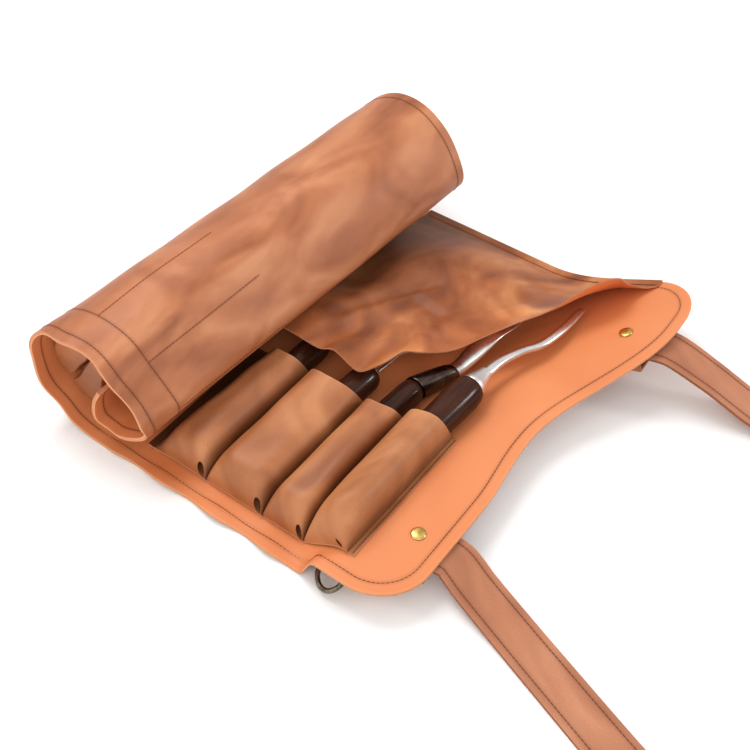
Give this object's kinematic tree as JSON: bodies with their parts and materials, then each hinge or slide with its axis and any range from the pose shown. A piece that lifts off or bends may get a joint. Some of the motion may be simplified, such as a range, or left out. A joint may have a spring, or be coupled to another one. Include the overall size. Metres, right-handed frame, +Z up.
{
  "type": "brush and tool roll case",
  "caption": "Half-unrolled leather tool roll with stitched pockets, a protective flap, riveted buckle straps, a carry ring and hand tools in the pockets.",
  "frame": {"origin": "on the underside of the flat outer panel, on the floor, at the middle of the case's width", "axes": "+X from the roll towards the lobed free end, +Y along the pockets from the near edge to the flap's sewn edge, +Z up"},
  "size_m": [0.6577, 0.3834, 0.1041],
  "materials": {
    "outer_leather": "oiled brown pull-up leather",
    "lining_leather": "smooth tan leather",
    "strap_leather": "oiled brown strap leather",
    "handle_wood": "dark lacquered wood",
    "tool_steel": "polished",
    "brass": "satin",
    "antique_steel": "antiqued"
  },
  "bodies": {
    "case": {"outer_panel": "outer_leather", "lining": "lining_leather", "pocket_strip": "outer_leather", "flap_panel": "outer_leather", "ring_tab": "outer_leather", "strap_root_near": "strap_leather", "strap_root_far": "strap_leather", "rivet_near": "brass", "rivet_far": "brass", "buckle_chape_near": "strap_leather", "buckle_chape_far": "strap_leather", "keeper_near": "strap_leather", "keeper_far": "strap_leather"},
    "roll": {"rolled_panel": "outer_leather", "rolled_lining": "lining_leather", "rolled_pocket_strip": "outer_leather", "rolled_flap": "outer_leather"},
    "flap_fold_over": {"flap_corner": "outer_leather"},
    "near_strap": {"strap_near": "strap_leather"},
    "far_strap": {"strap_far": "strap_leather"},
    "near_buckle": {"buckle_frame_near": "brass"},
    "far_buckle": {"buckle_frame_far": "brass"},
    "near_prong": {"buckle_prong_near": "brass"},
    "far_prong": {"buckle_prong_far": "brass"},
    "ring": {"carry_ring": "antique_steel"},
    "tool_1": {"tool_1_handle": "handle_wood", "tool_1_ferrule": "tool_steel", "tool_1_blade": "tool_steel"},
    "tool_2": {"tool_2_handle": "handle_wood", "tool_2_ferrule": "tool_steel", "tool_2_blade": "tool_steel"},
    "tool_3": {"tool_3_handle": "handle_wood", "tool_3_ferrule": "tool_steel", "tool_3_blade": "tool_steel"},
    "tool_4": {"tool_4_handle": "handle_wood", "tool_4_ferrule": "tool_steel", "tool_4_blade": "tool_steel"}
  },
  "joints": [
    {"name": "unroll", "type": "hinge", "parent": "case", "child": "roll", "pos_m": [-0.101, 0, 0], "axis": [-0.0653, -0.9979, 0], "range_deg": [0, 12]},
    {"name": "flap_fold", "type": "hinge", "parent": "case", "child": "flap_fold_over", "pos_m": [-0.034, -0.033, 0.0342], "axis": [-0.6868, -0.7227, -0.0784], "range_deg": [0, 75]},
    {"name": "strap_near_lift", "type": "hinge", "parent": "case", "child": "near_strap", "pos_m": [0.1392, -0.1115, 0.0175], "axis": [-0.2547, -0.967, 0], "range_deg": [0, 90]},
    {"name": "strap_far_lift", "type": "hinge", "parent": "case", "child": "far_strap", "pos_m": [0.1709, 0.1101, 0.0386], "axis": [0.0995, -0.995, 0], "range_deg": [0, 100]},
    {"name": "buckle_near_swing", "type": "hinge", "parent": "case", "child": "near_buckle", "pos_m": [0.08314, -0.113, 0.01337], "axis": [0, 1, 0], "range_deg": [-45, 1]},
    {"name": "prong_near_swing", "type": "hinge", "parent": "near_buckle", "child": "near_prong", "pos_m": [0.08314, -0.113, 0.01337], "axis": [0, 1, 0], "range_deg": [-40, 0]},
    {"name": "buckle_far_swing", "type": "hinge", "parent": "case", "child": "far_buckle", "pos_m": [0.11327, 0.10648, 0.01487], "axis": [-0.0214, 0.9982, 0.0552], "range_deg": [-45, 1]},
    {"name": "prong_far_swing", "type": "hinge", "parent": "far_buckle", "child": "far_prong", "pos_m": [0.11327, 0.10648, 0.01487], "axis": [-0.0214, 0.9982, 0.0552], "range_deg": [-40, 0]},
    {"name": "ring_swing", "type": "hinge", "parent": "case", "child": "ring", "pos_m": [0.0815, -0.1565, 0.0126], "axis": [-0.9611, 0, -0.2764], "range_deg": [-50, 32]},
    {"name": "tool_1_slide", "type": "slide", "parent": "case", "child": "tool_1", "axis": [0.03, 0.9995, 0], "range_m": [0, 0.014]},
    {"name": "tool_2_slide", "type": "slide", "parent": "case", "child": "tool_2", "axis": [0.0799, 0.9968, 0], "range_m": [0, 0.014]},
    {"name": "tool_3_slide", "type": "slide", "parent": "case", "child": "tool_3", "axis": [0.0719, 0.9974, 0], "range_m": [0, 0.014]},
    {"name": "tool_4_slide", "type": "slide", "parent": "case", "child": "tool_4", "axis": [0.052, 0.9986, 0], "range_m": [0, 0.014]}
  ]
}
